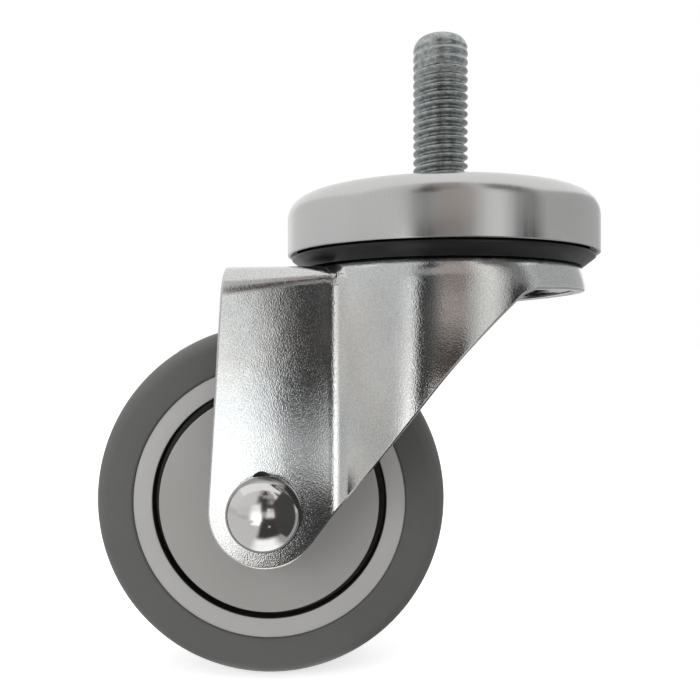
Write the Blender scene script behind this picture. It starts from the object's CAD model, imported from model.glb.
"""Looks of the swivel castor: turned skins, the rolled thread and every finish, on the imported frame."""

import bmesh
import bpy
import numpy as np
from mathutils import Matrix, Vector


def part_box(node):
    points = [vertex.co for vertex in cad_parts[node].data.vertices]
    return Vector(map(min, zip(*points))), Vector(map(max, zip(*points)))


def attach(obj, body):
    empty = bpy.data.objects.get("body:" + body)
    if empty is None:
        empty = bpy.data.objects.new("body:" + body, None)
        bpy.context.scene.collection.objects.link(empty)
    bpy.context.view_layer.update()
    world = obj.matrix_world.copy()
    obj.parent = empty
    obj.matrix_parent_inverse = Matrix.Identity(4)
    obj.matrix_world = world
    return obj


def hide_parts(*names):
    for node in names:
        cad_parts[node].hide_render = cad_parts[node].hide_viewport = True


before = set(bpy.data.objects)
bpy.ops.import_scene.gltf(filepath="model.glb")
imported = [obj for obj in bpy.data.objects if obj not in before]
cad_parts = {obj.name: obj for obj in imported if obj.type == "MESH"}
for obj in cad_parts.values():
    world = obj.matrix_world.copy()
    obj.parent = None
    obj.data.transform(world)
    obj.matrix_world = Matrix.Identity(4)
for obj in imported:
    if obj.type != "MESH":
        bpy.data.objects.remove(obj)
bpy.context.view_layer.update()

MM = 0.001
PER_METRE = 1000.0


def reach(node):
    """A frame node's lowest and highest corners in millimetres."""
    return np.array([list(corner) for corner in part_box(node)]) / MM


AXLE = reach("tyre").mean(0)
RIM_BORE = 25.0

# ---------------------------------------------------------------- node building


class Field:
    """A value that changes over a surface, so that sums and products of it read like plain arithmetic."""

    def __init__(self, shop, socket):
        self.shop = shop
        self.socket = socket

    def _math(self, operation, first, second):
        return self.shop.node("ShaderNodeMath", {"operation": operation}, {0: first, 1: second})

    def __add__(self, other):
        return self._math("ADD", self, other)

    __radd__ = __add__

    def __sub__(self, other):
        return self._math("SUBTRACT", self, other)

    def __rsub__(self, other):
        return self._math("SUBTRACT", other, self)

    def __mul__(self, other):
        return self._math("MULTIPLY", self, other)

    __rmul__ = __mul__

    def __pow__(self, power):
        return self._math("POWER", self, power)


class Shop:
    """A node tree with one way to add a node."""

    def __init__(self, tree):
        self.tree = tree

    def node(self, kind, settings=None, sockets=None, out=0):
        """A new node: its settings first, then its sockets by name or number, each a constant or a Field."""
        made = self.tree.nodes.new(kind)
        for name, value in (settings or {}).items():
            setattr(made, name, value)
        for name, value in (sockets or {}).items():
            socket = self._socket(made.inputs, name)
            if isinstance(value, Field):
                self.tree.links.new(value.socket, socket)
            else:
                socket.default_value = value
        return Field(self, self._socket(made.outputs, out))

    def finish(self, kind, shader):
        """Ends the tree in its output node."""
        output = self.tree.nodes.new(kind)
        self.tree.links.new(shader.socket, output.inputs["Surface"])

    @staticmethod
    def _socket(sockets, name):
        if isinstance(name, int):
            return sockets[name]
        return next(socket for socket in sockets if socket.name == name and socket.enabled)


class Finish(Shop):
    """One material: patterns read the object's own coordinates in metres and end in a principled shader."""

    def __init__(self, name, **constants):
        self.material = bpy.data.materials.new(name)
        self.material.use_nodes = True
        super().__init__(self.material.node_tree)
        self.shader = self.tree.nodes["Principled BSDF"]
        self.place = self.node("ShaderNodeTexCoord", out="Object")
        for socket, value in constants.items():
            self.shader.inputs[socket.replace("_", " ")].default_value = value

    def feed(self, **fields):
        """Sends Fields to the shader's own sockets."""
        for socket, field in fields.items():
            self.tree.links.new(field.socket, self.shader.inputs[socket.replace("_", " ")])

    def stretched(self, scale):
        """The object's coordinates, multiplied along each axis by its own scale."""
        return self.node(
            "ShaderNodeMapping",
            {"vector_type": "TEXTURE"},
            {"Vector": self.place, "Scale": [1 / each for each in scale]},
        )

    def noise(self, scale, detail=3.0, vector=None, roughness=0.5):
        """Cloudy noise from 0 to 1."""
        sockets = {"Vector": vector or self.place, "Scale": scale, "Detail": detail, "Roughness": roughness}
        return self.node("ShaderNodeTexNoise", None, sockets, out="Fac")

    def spread(self, field, low, high, to_low=0.0, to_high=1.0):
        """A Field taken from one range to another, and held at its ends."""
        return self.node(
            "ShaderNodeMapRange",
            None,
            {"Value": field, "From Min": low, "From Max": high, "To Min": to_low, "To Max": to_high},
        )

    def blend(self, share, first, second):
        """Two colours mixed by a Field."""
        return self.node(
            "ShaderNodeMix",
            {"data_type": "RGBA"},
            {
                "Factor": share,
                "A": first if isinstance(first, Field) else (*first, 1),
                "B": second if isinstance(second, Field) else (*second, 1),
            },
            out="Result",
        )

    def off_axle(self):
        """How far each place is from the axle's line, in millimetres: the root of the sum of both squares."""
        across, up = (self.node("ShaderNodeSeparateXYZ", None, {0: self.place}, out=axis) for axis in "XZ")
        return ((across * PER_METRE - AXLE[0]) ** 2.0 + (up * PER_METRE - AXLE[2]) ** 2.0) ** 0.5

    def relief(self, height, distance, strength=1.0, under=None):
        """A bump whose height Field of 1 stands a distance in metres."""
        sockets = {"Height": height, "Distance": distance, "Strength": strength}
        if under:
            sockets["Normal"] = under
        return self.node("ShaderNodeBump", None, sockets, out="Normal")


# ---------------------------------------------------------------- surfaces


def rounded(*corners, steps=6):
    """The outline through corners (across, up, radius), each rounded by an arc; a radius of 0 keeps it sharp.

    An arc of radius r at a corner of angle a touches its two sides r / tan(a / 2) from the corner, and its
    centre is on the bisector at r / sin(a / 2). The arc's points are the two end spokes blended by the sines
    of the angles to them."""
    corners = np.array(corners, dtype=float)
    here, radius = corners[:, :2], corners[:, 2:]
    before, after = np.roll(here, 1, 0) - here, np.roll(here, -1, 0) - here
    before /= np.linalg.norm(before, axis=1, keepdims=True)
    after /= np.linalg.norm(after, axis=1, keepdims=True)
    half = np.arccos(np.clip(np.sum(before * after, 1, keepdims=True), -0.9999, 0.9999)) / 2
    bisector = (before + after) / np.maximum(np.linalg.norm(before + after, axis=1, keepdims=True), 1e-9)
    centre = here + bisector * radius / np.sin(half)
    start, end = (here + side * radius / np.tan(half) - centre for side in (before, after))
    share = np.linspace(0, 1, steps)[None, :, None]
    sweep = (np.pi - 2 * half)[:, None, :]
    spokes = start[:, None, :] * np.sin(sweep * (1 - share)) + end[:, None, :] * np.sin(sweep * share)
    return (centre[:, None, :] + spokes / np.sin(sweep)).reshape(-1, 2)


def ellipse(centre, across, up, start, end, steps):
    """Points of an ellipse about a centre, from one angle to another in degrees."""
    turn = np.radians(np.linspace(start, end, steps))
    return np.stack([centre[0] + across * np.cos(turn), centre[1] + up * np.sin(turn)], 1)


def both_sides(half):
    """A closed outline from one half of it: the half, then its mirror image (across, -up) run backwards."""
    return np.concatenate([half, (half * (1, -1))[::-1]])


def skin(name, points, crease=38.0, closed=True):
    """A mesh over grids of points in millimetres, (row, column, 3) or (grid, row, column, 3).

    Neighbours on a grid make a face, and with closed the last column also joins the first. Points that
    meet, as at a pole or a seam, are merged, and the faces are turned outwards."""
    points = points.reshape(-1, *points.shape[-3:])
    index = np.arange(points[..., 0].size).reshape(points.shape[:-1])
    ahead = np.roll(index, -1, 2) if closed else index[:, :, 1:]
    here = index if closed else index[:, :, :-1]
    faces = np.stack([here[:, :-1], ahead[:, :-1], ahead[:, 1:], here[:, 1:]], -1).reshape(-1, 4)
    mesh = bpy.data.meshes.new(name)
    mesh.from_pydata(points.reshape(-1, 3) * MM, [], faces)
    shape = bmesh.new()
    shape.from_mesh(mesh)
    bmesh.ops.remove_doubles(shape, verts=shape.verts, dist=0.002 * MM)
    bmesh.ops.dissolve_degenerate(shape, edges=shape.edges, dist=0.001 * MM)
    bmesh.ops.recalc_face_normals(shape, faces=shape.faces)
    shape.to_mesh(mesh)
    shape.free()
    mesh.shade_smooth()
    mesh.set_sharp_from_angle(angle=np.radians(crease))
    piece = bpy.data.objects.new(name, mesh)
    bpy.context.collection.objects.link(piece)
    return piece


def turned_upright(name, outline, steps=200, crease=38.0):
    """An outline of (radius, height) carried round the swivel axis: x = r cos t, y = r sin t, z = height."""
    turn = np.linspace(0, 2 * np.pi, steps + 1)[:, None]
    radius, height = outline[None, :, 0], outline[None, :, 1]
    return skin(name, np.stack([radius * np.cos(turn), radius * np.sin(turn), height + 0 * turn], -1), crease)


def turned_on_axle(name, outline, steps=200, crease=38.0):
    """An outline of (radius, along) carried round the axle: x = r cos t, y = along, z = r sin t."""
    turn = np.linspace(0, 2 * np.pi, steps + 1)[:, None]
    radius, along = outline[None, :, 0], outline[None, :, 1]
    points = np.stack([radius * np.cos(turn), along + 0 * turn, radius * np.sin(turn)], -1)
    return skin(name, points + AXLE, crease)


def balls(name, radius, centres):
    """Balls at several centres, each x = r sin u cos t, y = r sin u sin t, z = r cos u."""
    turn = np.linspace(0, 2 * np.pi, 25)[:, None]
    drop = np.linspace(0, np.pi, 13)[None, :]
    ball = np.stack([np.sin(drop) * np.cos(turn), np.sin(drop) * np.sin(turn), np.cos(drop) + 0 * turn], -1)
    return skin(name, radius * ball + np.array(centres)[:, None, None, :], crease=90.0, closed=False)


def place(piece, body, finish, *nodes):
    """Rides a piece on its body, gives it its finish and lets it stand for its frame nodes."""
    piece.data.materials.clear()
    piece.data.materials.append(finish.material)
    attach(piece, body)
    if nodes:
        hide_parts(*nodes)
    return piece


# ---------------------------------------------------------------- finishes

satin = Finish("satin_plated_cup", Metallic=1.0)
brushing = satin.noise(1.0, 2.0, satin.stretched((1500, 1500, 60)))
clouds = satin.noise(70.0, 4.0)
satin.feed(
    Base_Color=satin.blend(brushing * 0.4 + clouds * 0.6, (0.50, 0.505, 0.50), (0.555, 0.555, 0.545)),
    Roughness=satin.spread(brushing * 0.5 + clouds * 0.5, 0.3, 0.7, 0.2, 0.3),
    Normal=satin.relief(brushing, 0.000008, 0.6),
)

zinc = Finish("bright_zinc_fork", Metallic=1.0)
sand = zinc.noise(3600.0, 1.0, roughness=0.6)
pits = zinc.noise(2600.0, 2.0)
press = zinc.noise(75.0, 3.0)
mottle = zinc.noise(110.0, 5.0)
tint = zinc.noise(38.0, 2.0)
grit = zinc.spread(sand * 0.7 + mottle * 0.3, 0.36, 0.64)
zinc.feed(
    Base_Color=zinc.blend(
        zinc.spread(tint, 0.4, 0.62),
        zinc.blend(grit, (0.47, 0.49, 0.495), (0.62, 0.635, 0.63)),
        zinc.blend(grit, (0.50, 0.49, 0.465), (0.64, 0.63, 0.605)),
    ),
    Roughness=zinc.spread(pits * 0.75 + mottle * 0.25, 0.46, 0.68, 0.08, 0.19),
    Normal=zinc.relief(sand, 0.000022, 1.0, under=zinc.relief(press, 0.0003, 0.35)),
)

stem_zinc = Finish("dull_zinc_thread", Metallic=1.0)
wear = stem_zinc.noise(850.0, 4.0, roughness=0.7)
worn = stem_zinc.spread(wear, 0.36, 0.64)
stem_zinc.feed(
    Base_Color=stem_zinc.blend(worn, (0.215, 0.235, 0.245), (0.44, 0.46, 0.445)),
    Roughness=stem_zinc.spread(wear, 0.3, 0.7, 0.22, 0.4),
)

polish = Finish("polished_axle_head", Metallic=1.0)
haze = polish.noise(300.0, 3.0)
polish.feed(
    Base_Color=polish.blend(haze, (0.60, 0.59, 0.575), (0.67, 0.66, 0.65)),
    Roughness=polish.spread(haze, 0.3, 0.7, 0.09, 0.15),
    Normal=polish.relief(polish.noise(900.0, 2.0), 0.00002, 0.5),
)

tread = Finish("grey_tread_rubber", Specular_IOR_Level=0.4)
grain = tread.noise(1500.0, 3.0)
bloom = tread.noise(90.0, 4.0)
tread.feed(
    Base_Color=tread.blend(bloom, (0.073, 0.073, 0.071), (0.098, 0.097, 0.093)),
    Roughness=tread.spread(bloom, 0.3, 0.7, 0.5, 0.62),
    Normal=tread.relief(grain, 0.00002, 0.5),
)

# Dust and grease darken the core inside its rim, where it shows in the narrow gap round the guards.
GRIME, GRIME_EDGE = (0.018, 0.018, 0.017), 0.15

core = Finish("light_core_plastic", Specular_IOR_Level=0.5)
matt = core.noise(1200.0, 2.0)
core_tone = core.noise(70.0, 3.0)
clean = core.spread(core.off_axle(), RIM_BORE, RIM_BORE + GRIME_EDGE)
core_grey = core.blend(core_tone, (0.33, 0.325, 0.315), (0.38, 0.375, 0.365))
core.feed(
    Base_Color=core.blend(clean, GRIME, core_grey),
    Roughness=core.spread(core_tone, 0.3, 0.7, 0.42, 0.52),
    Normal=core.relief(matt, 0.00001, 0.4),
)

guard = Finish("warm_guard_plastic", Specular_IOR_Level=0.5)
guard_matt = guard.noise(1400.0, 2.0)
guard_tone = guard.noise(60.0, 3.0)
guard.feed(
    Base_Color=guard.blend(guard_tone, (0.258, 0.248, 0.238), (0.298, 0.288, 0.278)),
    Roughness=guard.spread(guard_tone, 0.3, 0.7, 0.42, 0.5),
    Normal=guard.relief(guard_matt, 0.00001, 0.4),
)

seal_rubber = Finish("black_seal_rubber", Specular_IOR_Level=0.3)
seal_tone = seal_rubber.noise(200.0, 3.0)
seal_rubber.feed(
    Base_Color=seal_rubber.blend(seal_tone, (0.005, 0.005, 0.006), (0.010, 0.010, 0.011)),
    Roughness=seal_rubber.spread(seal_tone, 0.3, 0.7, 0.3, 0.4),
)

hard_steel = Finish("hardened_race_steel", Metallic=1.0)
lap = hard_steel.noise(700.0, 3.0)
hard_steel.feed(
    Base_Color=hard_steel.blend(lap, (0.40, 0.40, 0.40), (0.50, 0.50, 0.49)),
    Roughness=hard_steel.spread(lap, 0.3, 0.7, 0.18, 0.3),
)

nylon = Finish("lock_insert_nylon", Specular_IOR_Level=0.5)
nylon_tone = nylon.noise(400.0, 2.0)
nylon.feed(
    Base_Color=nylon.blend(nylon_tone, (0.70, 0.69, 0.65), (0.78, 0.77, 0.73)),
    Roughness=nylon.spread(nylon_tone, 0.3, 0.7, 0.4, 0.5),
)

# ---------------------------------------------------------------- cup, stem and seal

CUP_LOW, CUP_HIGH = reach("top_cup")
CUP_SHEET = 2.2
CUP_SHOULDER, CUP_INNER_SHOULDER = 4.9, 2.5
CUP_RIM, RIM_SLOPE, RIM_FLAT = CUP_LOW[2] + 0.4, 1.2, 0.5
STEM_LOW, STEM_HIGH = reach("threaded_stem")
CREST = 6.2
NECK = CREST + 0.4
CUP_HOLE = NECK + 0.05

place(
    turned_upright(
        "cup_shell",
        rounded(
            (CUP_HOLE, CUP_HIGH[2], 0.2),
            (CUP_HOLE, CUP_HIGH[2] - CUP_SHEET, 0.2),
            (CUP_HIGH[0] - CUP_SHEET, CUP_HIGH[2] - CUP_SHEET, CUP_INNER_SHOULDER),
            (CUP_HIGH[0] - CUP_SHEET, CUP_RIM + RIM_SLOPE, 0.2),
            (CUP_HIGH[0] - RIM_FLAT, CUP_RIM, 0.15),
            (CUP_HIGH[0], CUP_RIM, 0.3),
            (CUP_HIGH[0], CUP_HIGH[2], CUP_SHOULDER),
            steps=9,
        ),
        240,
    ),
    "stem_and_cup",
    satin,
    "top_cup",
)


def rolled_stem():
    """The stem with its rolled thread, over the kingpin and its riveted head.

    Along the helix z = pitch (turn + phase + t / 2 pi) the radius is crest - depth (1 - |cos(pi phase)|^k)^m,
    so that crests are broad and roots are rounded. The depth grows over a run above the cup and shrinks
    again towards the top, and the end is held under a quarter of an ellipse."""
    pitch, depth, steps = 1.954, 0.88, 96
    crest_power, root_power = 2.4, 1.3
    first_groove, run_in, fade_out, faintest = 0.6, 1.6, 13.0, 0.12
    end_round, end_flat = 3.4, 3.5
    top = STEM_HIGH[2]
    turns = np.arange(-2, int(top / pitch) + 2)
    phase = np.linspace(0, 1, 15)[:-1]
    groove = (1 - np.abs(np.cos(np.pi * phase)) ** crest_power) ** root_power
    start = pitch * (turns[:, None] + phase).reshape(1, -1)
    turn = np.linspace(0, 2 * np.pi, steps + 1)[:, None]
    height = start + pitch * turn / (2 * np.pi)
    strength = np.clip((height - first_groove) / run_in, 0, 1)
    strength = strength * np.clip((top - height) / fade_out, faintest, 1)
    past_shoulder = np.clip((height - top + end_round) / end_round, 0, 1)
    end = end_flat + (CREST - end_flat) * np.sqrt(1 - past_shoulder**2)
    radius = np.minimum(CREST - depth * strength * np.tile(groove, len(turns)), end)
    height = np.clip(height, 0, top)
    kingpin, rivet_neck, race_top, race_bottom = 7.6, 5.0, -15.3, -17.5
    foot = rounded(
        (0, STEM_LOW[2], 0),
        (STEM_HIGH[0], STEM_LOW[2], 0.8),
        (STEM_HIGH[0], race_bottom, 0.3),
        (rivet_neck, race_bottom, 0),
        (rivet_neck, race_top, 0),
        (kingpin, race_top, 0.3),
        (kingpin, -CUP_SHEET, 0.3),
        (NECK, -CUP_SHEET, 0),
        (NECK, 0, 0),
        steps=4,
    )
    rows = (steps + 1, 1)
    radius = np.concatenate([np.tile(foot[:, 0], rows), radius, np.zeros(rows)], 1)
    height = np.concatenate([np.tile(foot[:, 1], rows), height, np.full(rows, top)], 1)
    points = np.stack([radius * np.cos(turn), radius * np.sin(turn), height], -1)
    return skin("rolled_stem", points, crease=40.0, closed=False)


place(rolled_stem(), "stem_and_cup", stem_zinc, "threaded_stem")

SEAL_LOW, SEAL_HIGH = reach("dust_seal")
SEAL_FOOT = 26.0
PLATEAU = SEAL_LOW[2] + 1.3
LIP = SEAL_HIGH[0] - 1.25
BEAD = SEAL_HIGH[0] + 1.5
BEAD_HIGH, BEAD_LOW = PLATEAU + 1.4, PLATEAU + 0.8
place(
    turned_upright(
        "seal_ring",
        rounded(
            (SEAL_FOOT, PLATEAU, 0.2),
            (LIP - 1.3, PLATEAU, 0.5),
            (LIP, SEAL_LOW[2], 0.1),
            (BEAD, BEAD_LOW, 0.25),
            (BEAD, BEAD_HIGH, 0.25),
            (SEAL_HIGH[0] - 0.2, SEAL_HIGH[2], 0.3),
            (SEAL_FOOT, SEAL_HIGH[2], 0.3),
            steps=5,
        ),
    ),
    "swivel_fork",
    seal_rubber,
    "dust_seal",
)


def ring_of(count, pitch_radius, middle, second):
    """Centres of balls round a circle: middle + pitch radius (cos t (1, 0, 0) + sin t second)."""
    turn = np.radians(np.arange(count) * 360 / count)[:, None]
    return middle + pitch_radius * (np.cos(turn) * (1, 0, 0) + np.sin(turn) * second)


for node, body, count, pitch_radius, diameter, second in (
    ("upper_balls", "swivel_balls", 17, 18.0, 6.15, (0, 1, 0)),
    ("lower_balls", "swivel_balls", 15, 12.5, 4.56, (0, 1, 0)),
    ("bearing_balls", "wheel_ball_set", 9, 10.0, 4.6, (0, 0, 1)),
):
    middle = reach(node).mean(0) * (0, 1, 1) if second[1] else AXLE
    centres = ring_of(count, pitch_radius, middle, np.array(second))
    place(balls("true_" + node, diameter / 2, centres), body, hard_steel, node)

# ---------------------------------------------------------------- fork

LEG_FACE = -22.0


def pressed_fork():
    """The frame's fork with its loose triangles joined into flat faces and its sheared edges rolled over.

    A sheared edge is convex, turns by more than the shear angle and stands clear of the bolt's hole; each is
    rounded by four faces, and the flat faces keep their own normals."""
    shear, roll, hole_clear, flat, crease = 62.0, 0.55, 10.0, 0.6, 28.0
    piece = bpy.data.objects.new("pressed_fork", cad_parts["fork"].data.copy())
    bpy.context.collection.objects.link(piece)
    shape = bmesh.new()
    shape.from_mesh(piece.data)
    bmesh.ops.remove_doubles(shape, verts=shape.verts, dist=0.001 * MM)
    bmesh.ops.dissolve_limit(shape, angle_limit=np.radians(flat), verts=shape.verts, edges=shape.edges)
    sheared = []
    for edge in shape.edges:
        middle = (edge.verts[0].co + edge.verts[1].co) / (2 * MM)
        from_axle = np.hypot(middle.x - AXLE[0], middle.z - AXLE[2])
        if from_axle > hole_clear and edge.is_convex and edge.calc_face_angle() > np.radians(shear):
            sheared.append(edge)
    bmesh.ops.bevel(
        shape, geom=sheared, offset=roll * MM, segments=4, profile=0.5, affect="EDGES", clamp_overlap=False
    )
    shape.to_mesh(piece.data)
    shape.free()
    piece.data.shade_smooth()
    piece.data.set_sharp_from_angle(angle=np.radians(crease))
    piece.modifiers.new("flat_faces", "WEIGHTED_NORMAL").keep_sharp = True
    return piece


place(pressed_fork(), "swivel_fork", zinc, "fork")


def press_fillet():
    """The soft corner where the crown rises out of the web and its two bends.

    The seam starts on a leg's face, follows the bend's quarter circle y = -(half - r + r cos t),
    z = top - r + r sin t and crosses the web, at x = -sqrt(wall(z)^2 - y^2). At each point of it a parabola
    touches the crown's wall and the sheet, a foot away from the seam on either side. The other leg's half
    is its mirror image."""
    web_top, bend, leg_half, below = PLATEAU - 2.0, 4.0, -LEG_FACE, 0.5
    crown, taper, taper_end, sunk = 31.5, 1.0 / 4.1, -20.0, 0.05
    foot_length, less_on_wall, less_on_sheet, root_depth = 2.3, 1.2, 0.3, 0.4

    def wall(height):
        """The crown's radius at a height: it shrinks by the taper above the taper's end."""
        return crown - taper * np.maximum(height - taper_end, 0)

    lead = np.array([-below, 0.0])
    arc = np.linspace(0, np.pi / 2, 15)
    run = np.linspace(bend - leg_half, 0, 12)
    turn = np.concatenate([0 * lead, arc[1:], 0 * run[1:] + np.pi / 2])
    across = np.concatenate([0 * lead - leg_half, bend - leg_half - bend * np.cos(arc[1:]), run[1:]])
    height = web_top - bend + bend * np.sin(turn) + np.concatenate([lead, 0 * arc[1:], 0 * run[1:]])
    seam = np.stack([-np.sqrt(wall(height) ** 2 - across**2), across, height], 1)
    sheet_out = np.stack([0 * turn, -np.cos(turn), np.sin(turn)], 1)
    wall_out = np.stack([seam[:, 0], seam[:, 1], taper * wall(height) * (height > taper_end)], 1)
    wall_out /= np.linalg.norm(wall_out, axis=1, keepdims=True)
    between = np.sum(sheet_out * wall_out, 1, keepdims=True)
    fade = np.sin(turn)[:, None]
    feet = []
    for along, other, less in ((sheet_out, wall_out, less_on_wall), (wall_out, sheet_out, less_on_sheet)):
        foot = along - between * other
        length = foot_length - less * fade
        feet.append(seam + foot * length / np.linalg.norm(foot, axis=1, keepdims=True))
    on_wall, on_sheet = feet[0], feet[1] - sheet_out * sunk
    on_wall[:, :2] *= ((wall(on_wall[:, 2]) - sunk) / np.hypot(on_wall[:, 0], on_wall[:, 1]))[:, None]
    share = np.linspace(0, 1, 9)[None, :, None]
    curve = on_wall[:, None] * (1 - share) ** 2 + 2 * seam[:, None] * share * (1 - share)
    curve = curve + on_sheet[:, None] * share**2
    root = (seam - root_depth * (wall_out + sheet_out))[:, None]
    half = np.concatenate([curve, root], 1)
    whole = np.concatenate([half, (half * (1, -1, 1))[-2::-1]])
    cap = np.repeat(whole[:1, -1:], whole.shape[1], 1)
    return skin("press_fillet", np.concatenate([cap, whole, cap * (1, -1, 1)]), crease=50.0)


place(press_fillet(), "swivel_fork", zinc)

# ---------------------------------------------------------------- wheel

TYRE_RADIUS, TYRE_HALF = 38.0, 11.5
SHOULDER_DROP, SHOULDER_RUN = 3.6, 6.6
CORE_RADIUS = 29.1
TREAD_LIP, TREAD_LIP_IN = 0.6, 0.7
RECESS, BEARING_RADIUS, BEARING_HALF, BEARING_STOP = 8.0, 14.0, 4.0, 1.5
core_half = reach("wheel_core")[1, 1]
place(
    turned_on_axle(
        "soft_tread",
        both_sides(
            np.concatenate(
                [
                    ellipse(
                        (TYRE_RADIUS - SHOULDER_DROP, TYRE_HALF - SHOULDER_RUN),
                        SHOULDER_DROP,
                        SHOULDER_RUN,
                        0,
                        90,
                        14,
                    ),
                    ellipse(
                        (CORE_RADIUS + TREAD_LIP, TYRE_HALF - TREAD_LIP_IN), TREAD_LIP, TREAD_LIP, 90, 180, 6
                    ),
                ]
            )
        ),
        240,
    ),
    "wheel",
    tread,
    "tyre",
)

place(
    turned_on_axle(
        "wheel_hub",
        rounded(
            (CORE_RADIUS, -core_half, 0.25),
            (RIM_BORE, -core_half, 0.3),
            (RIM_BORE, -RECESS, 0.4),
            (BEARING_RADIUS - BEARING_STOP, -RECESS, 0.3),
            (BEARING_RADIUS - BEARING_STOP, -BEARING_HALF, 0.05),
            (BEARING_RADIUS, -BEARING_HALF, 0.05),
            (BEARING_RADIUS, RECESS, 0.3),
            (RIM_BORE, RECESS, 0.4),
            (RIM_BORE, core_half, 0.3),
            (CORE_RADIUS, core_half, 0.25),
            steps=5,
        ),
        240,
    ),
    "wheel",
    core,
    "wheel_core",
)

GUARD_BORE, GUARD_SHEET, GUARD_BOSS = 6.01, 1.6, 9.0
for side, name in ((-1, "near_thread_guard"), (1, "far_thread_guard")):
    low, high = reach(name)
    inner, outer = np.sort(np.abs((low[1], high[1])))
    disc = high[0] - AXLE[0]
    place(
        turned_on_axle(
            name.replace("thread_guard", "guard_disc"),
            rounded(
                (GUARD_BORE, inner, 0.1),
                (disc, inner, 0.2),
                (disc, inner + GUARD_SHEET, 0.35),
                (GUARD_BOSS, inner + GUARD_SHEET, 0.6),
                (GUARD_BOSS, outer, 0.2),
                (GUARD_BORE, outer, 0.1),
                steps=5,
            )
            * (1, side),
            220,
        ),
        "swivel_fork",
        guard,
        name,
    )

# ---------------------------------------------------------------- axle

BOLT_LOW, BOLT_HIGH = reach("axle_bolt")
SHANK, DOME_SKIRT = 3.96, 1.9
dome = BOLT_HIGH[0] - AXLE[0]
bolt = np.concatenate(
    [
        rounded(
            (0, BOLT_HIGH[1], 0),
            (SHANK, BOLT_HIGH[1], 0.5),
            (SHANK, LEG_FACE, 0),
            (dome, LEG_FACE, 0.5),
            (dome, LEG_FACE - DOME_SKIRT, 0),
            steps=5,
        ),
        ellipse((0, LEG_FACE - DOME_SKIRT), dome, LEG_FACE - DOME_SKIRT - BOLT_LOW[1], 0, -90, 25),
    ]
)
place(turned_on_axle("domed_bolt", bolt), "swivel_fork", polish, "axle_bolt")


def lock_nut():
    """The nut: a hexagon whose radius at an angle is flat / cos of the angle off the middle of its flat.

    Two cones take off its corners, and it carries the collar of its insert; both are given as the greatest
    radius at each place along the axle."""
    low, high = reach("axle_nut")
    inner, outer = low[1], high[1]
    flat, bore, insert, collar = (high[2] - low[2]) / 2, 4.01, 5.1, 1.8
    turn = np.linspace(0, 2 * np.pi, 97)[:, None]
    off_flat = (turn + np.pi / 6) % (np.pi / 3) - np.pi / 6
    hexagon = flat / np.cos(off_flat)
    along, greatest = np.array(
        [
            (inner, bore),
            (inner, flat - 0.1),
            (inner + 0.5, flat + 0.9),
            (outer - collar - 0.6, flat + 0.9),
            (outer - collar, flat - 0.15),
            (outer - 0.5, flat - 0.15),
            (outer, flat - 0.65),
            (outer, insert),
            (outer - collar, insert),
            (outer - collar, bore),
            (inner, bore),
        ]
    ).T
    radius = np.minimum(greatest[None, :], hexagon)
    points = np.stack([radius * np.sin(turn), along + 0 * turn, radius * np.cos(turn)], -1)
    return skin("lock_nut", points + AXLE, crease=25.0)


place(lock_nut(), "swivel_fork", stem_zinc, "axle_nut")

for node, finish in (
    ("lower_race", hard_steel),
    ("bearing_outer_ring", hard_steel),
    ("bearing_inner_ring", hard_steel),
    ("near_bearing_shield", satin),
    ("far_bearing_shield", satin),
    ("axle_sleeve", satin),
    ("nut_insert", nylon),
):
    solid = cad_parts[node]
    solid.data.materials.clear()
    solid.data.materials.append(finish.material)

# ---------------------------------------------------------------- stage, light and camera


def panel(name, corners, material, glossy_only=True):
    """A flat four-cornered sheet of the studio, which as a rule only reflections see."""
    mesh = bpy.data.meshes.new(name)
    mesh.from_pydata(np.array(corners, dtype=float) * MM, [], [(0, 1, 2, 3)])
    mesh.materials.append(material)
    sheet = bpy.data.objects.new(name, mesh)
    bpy.context.collection.objects.link(sheet)
    if glossy_only:
        sheet.visible_camera = False
        sheet.visible_diffuse = False
        sheet.visible_shadow = False
        sheet.visible_transmission = False


def upright(start, end, low, high):
    """Corners of an upright sheet from its start (x, y) to its end (x, y), between a low and a high z."""
    return [(*start, low), (*end, low), (*end, high), (*start, high)]


def paint(name):
    """An empty material with its node shop."""
    material = bpy.data.materials.new(name)
    material.use_nodes = True
    material.node_tree.nodes.clear()
    return material, Shop(material.node_tree)


def glowing(shop, level, warmth=0.0):
    """An emission at a level, white or, where it is warm, a little brown."""
    ends = {"Factor": warmth, "A": (1, 1, 1, 1), "B": (1.04, 0.9, 0.86, 1)}
    shade = shop.node("ShaderNodeMix", {"data_type": "RGBA"}, ends, out="Result")
    return shop.node("ShaderNodeEmission", None, {"Color": shade, "Strength": level})


def where(shop, axes="XZ"):
    """Places along two axes, in millimetres, as Fields of a sheet of the studio."""
    spot = shop.node("ShaderNodeNewGeometry", out="Position")
    return [shop.node("ShaderNodeSeparateXYZ", None, {0: spot}, out=axis) * PER_METRE for axis in axes]


def step(field, start, end):
    """Rises smoothly from 0 at the start to 1 at the end."""
    return field.shop.node(
        "ShaderNodeMapRange",
        {"interpolation_type": "SMOOTHSTEP"},
        {"Value": field, "From Min": start, "From Max": end},
    )


def band(field, start, full, hold, end):
    """Rises from the start to full, holds, and falls again to the end."""
    return step(field, start, full) * step(field, end, hold)


scene = bpy.context.scene
scene.view_settings.view_transform = "Standard"

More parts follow.
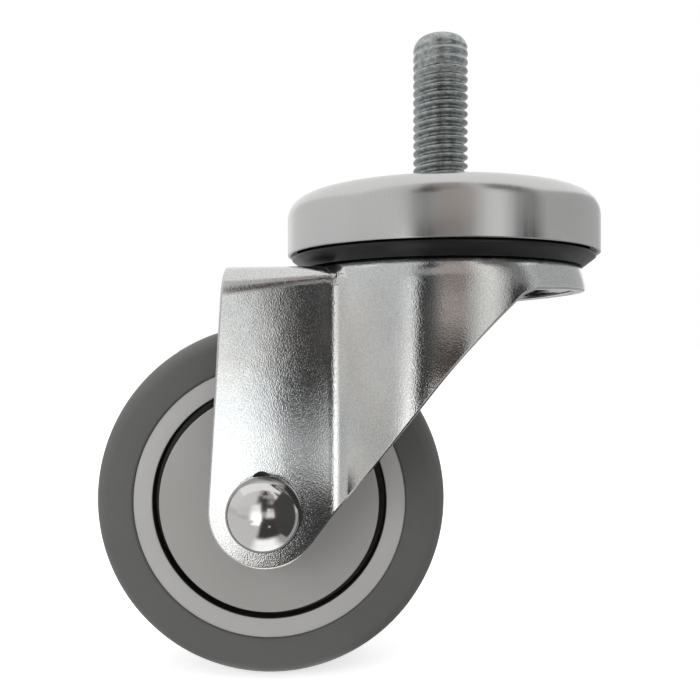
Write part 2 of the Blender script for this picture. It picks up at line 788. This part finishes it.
world = bpy.data.worlds.new("studio")
scene.world = world
world.use_nodes = True
world.node_tree.nodes.clear()
air = Shop(world.node_tree)
seen = air.node("ShaderNodeLightPath", out="Is Camera Ray")
through = air.node("ShaderNodeLightPath", out="Is Transmission Ray")
mirrored = air.node("ShaderNodeLightPath", out="Is Glossy Ray")
MIRRORED_WORLD, LIGHTING_WORLD = 1.1, 0.6
level = seen + through + mirrored * MIRRORED_WORLD + (1 - (seen + through + mirrored)) * LIGHTING_WORLD
glow = air.node("ShaderNodeBackground", None, {"Color": (1, 1, 1, 1), "Strength": level})
air.finish("ShaderNodeOutputWorld", glow)

FLOOR, FLOOR_HALF, FLOOR_GLOW = AXLE[2] - 38.05, 9000, 0.62
floor_paint, ground = paint("pale_floor")
diffuse = ground.node("ShaderNodeBsdfDiffuse", None, {"Color": (0.9, 0.9, 0.9, 1)})
ray = [ground.node("ShaderNodeLightPath", out=f"Is {kind} Ray") for kind in ("Camera", "Glossy")]
seen_floor = ground.node("ShaderNodeAddShader", None, {0: diffuse, 1: glowing(ground, ray[0] * FLOOR_GLOW)})
east, ahead = where(ground, "XY")
mirrored_floor = glowing(
    ground,
    0.76
    - step(east, -54.0, -44.0) * (0.3 + 0.4 * step(east, 110.0, 50.0) * step(ahead, -42.0, -56.0))
    + band(east, -100.0, -82.0, -56.0, -46.0) * step(ahead, -105.0, -125.0)
    + band(east, -56.0, -44.0, -28.0, -12.0) * step(ahead, -56.0, -42.0),
)
ground.finish(
    "ShaderNodeOutputMaterial",
    ground.node("ShaderNodeMixShader", None, {0: ray[1], 1: seen_floor, 2: mirrored_floor}),
)
floor_corners = [(FLOOR_HALF * x, FLOOR_HALF * y, FLOOR) for x, y in ((-1, -1), (1, -1), (1, 1), (-1, 1))]
panel("floor", floor_corners, floor_paint, glossy_only=False)

# What the plating mirrors: a wide graded card behind the camera, a plain card on either side, a dark card
# close to the fork and a small one beside the bolt's head. Each patch of a card is a band between four places
# in millimetres, and adds its share of light or takes it away.
card_paint, card = paint("graded_card")
across, up = where(card)
lean = across + up * 0.2
beside_fork = step(up, 14.0, 2.0)
beside_cup = 1 - beside_fork
left = step(across, -35.0, -125.0) * beside_cup + step(lean, -49.0, -72.0) * beside_fork
near_left = step(lean, -49.0, -72.0) * step(across, -155.0, -90.0) * beside_fork
window = band(across, 20.0, 95.0, 110.0, 190.0)
wall = band(across, 150.0, 205.0, 290.0, 400.0)
dusk = step(up, 26.0, 12.0) * band(across, -60.0, -20.0, 25.0, 60.0)
arm = band(up, 22.0, 34.0, 90.0, 140.0) * band(across, -100.0, -70.0, -25.0, 10.0)
far_low = step(across, -120.0, -170.0) * step(up, -60.0, -95.0)
card.finish(
    "ShaderNodeOutputMaterial",
    glowing(
        card,
        0.41
        + left * (0.42 - beside_fork * 0.06)
        + near_left * (0.45 + 0.85 * step(up, -20.0, -80.0))
        + window * 0.62
        - wall * (0.12 + 0.26 * step(up, 30.0, 16.0))
        - dusk * beside_cup * 0.2
        - arm * 0.4
        - far_low * 0.17
        + step(across, 320.0, 480.0) * 0.42,
        band(across, -90.0, -60.0, 40.0, 70.0) * step(up, 4.0, 12.0) * 0.8,
    ),
)
DEPTH, BACK, CARD_HALF, CARD_LOW, CARD_HIGH = -190, 700, 500, -400, 300
panel("graded_card", upright((-CARD_HALF, DEPTH), (CARD_HALF, DEPTH), CARD_LOW, CARD_HIGH), card_paint)

for name, side, low, high in (("left_card", -CARD_HALF, 0.7, 0.87), ("right_card", CARD_HALF, 0.72, 0.58)):
    side_paint, shop = paint(name)
    _, rise = where(shop)
    shop.finish("ShaderNodeOutputMaterial", glowing(shop, low + (high - low) * step(rise, -40.0, 20.0)))
    panel(name, upright((side, DEPTH), (side, BACK), CARD_LOW, CARD_HIGH), side_paint)

dark_paint, dark = paint("dark_card")
near_across, near_up = where(dark)
taller = 50.0 * band(near_across, -36.0, -28.0, -25.0, -21.0)
cover = (
    band(near_across, -46.0, -38.0, 12.0, 20.0) * band(near_up, -115.0, -104.0, 32.0 + taller, 50.0 + taller)
    + band(near_across, 36.0, 42.0, 95.0, 110.0) * step(near_up, 39.0, 45.0)
)
right_part, left_part = step(near_across, -17.0, -11.0), step(near_across, -11.0, -17.0)
fold_side = near_across - near_up * 0.15
dim = (
    0.06
    + 0.32 * right_part * step(near_up, -32.0, -24.0)
    + 0.4 * band(near_up, -76.0, -68.0, -60.0, -52.0)
    + 0.12 * step(fold_side, -24.0, -20.0) * step(near_up, -40.0, -25.0)
    + 0.6 * step(fold_side, -20.5, -16.5) * band(near_up, -78.0, -70.0, -50.0, -40.0)
    + 0.33 * left_part * band(near_up, -8.0, 2.0, 21.0, 27.0)
    - 0.21 * right_part * band(near_up, -18.0, -12.0, -4.0, 3.0)
    - 0.3 * step(near_across, 30.0, 38.0)
)
SPOT_LIGHT, SPOT_CORE = 1.6, 0.3
for spot_across, spot_up, spot_size in ((-20.5, -50.0, 2.6), (-18.0, -105.0, 5.0)):
    off_spot = (near_across - spot_across) ** 2.0 + (near_up - spot_up) ** 2.0
    dim = dim + SPOT_LIGHT * step(off_spot, spot_size**2, SPOT_CORE * spot_size**2)
warm = step(near_across, -19.0, -11.0) * 0.85 + step(near_up, 24.0, 34.0) * step(near_across, -11.0, -19.0)
clear = dark.node("ShaderNodeBsdfTransparent")
dark.finish(
    "ShaderNodeOutputMaterial",
    dark.node("ShaderNodeMixShader", None, {0: cover, 1: clear, 2: glowing(dark, dim, warm)}),
)
NEAR = -98.7
panel("dark_card", upright((-50, NEAR), (115, NEAR), -120, 105), dark_paint)

# The small card is dark on its left face alone, and from its right it is clear.
shade_paint, shade = paint("shade_card")
behind = shade.node("ShaderNodeNewGeometry", out="Backfacing")
see_through = shade.node("ShaderNodeBsdfTransparent")
shade.finish(
    "ShaderNodeOutputMaterial",
    shade.node("ShaderNodeMixShader", None, {0: behind, 1: glowing(shade, 0.07), 2: see_through}),
)
SHADE_SIDE = -15.0
panel("shade_card", upright((SHADE_SIDE, -24), (SHADE_SIDE, -72), -92, -38), shade_paint)


def lamp(name, spot, target, size, watts):
    """A soft lamp at a spot, turned to a target; reflections see the cards instead of it."""
    light = bpy.data.lights.new(name, "AREA")
    light.shape = "RECTANGLE"
    light.size, light.size_y = size[0] * MM, size[1] * MM
    light.energy = watts
    holder = bpy.data.objects.new(name, light)
    bpy.context.collection.objects.link(holder)
    holder.location = Vector(spot) * MM
    holder.rotation_euler = (Vector(target) - Vector(spot)).to_track_quat("-Z", "Y").to_euler()
    holder.visible_glossy = False


lamp("left_softbox", (-420, -420, 40), (-20, 0, -50), (300, 420), 1.6)
lamp("right_softbox", (420, -300, 60), (-20, 0, -40), (200, 400), 0.35)
lamp("top_softbox", (0, -50, 600), (0, 0, 0), (500, 500), 2.2)

# The lens in parts of a frame 700 wide and high: its focal length and the point that it looks straight at.
FRAME, FOCAL, AIM_ACROSS, AIM_DOWN = 700, 780.56, 338.73, 344.93
lens = bpy.data.cameras.new("camera")
lens.sensor_width = 36
lens.lens = lens.sensor_width * FOCAL / FRAME
lens.shift_x = (FRAME / 2 - AIM_ACROSS) / FRAME
lens.shift_y = (AIM_DOWN - FRAME / 2) / FRAME
lens.clip_start = 0.01
lens.clip_end = 20
eye = bpy.data.objects.new("camera", lens)
bpy.context.collection.objects.link(eye)
eye.location = (-0.023155, -0.17780, -0.03274)
eye.rotation_euler = (np.pi / 2, 0, 0)
scene.camera = eye
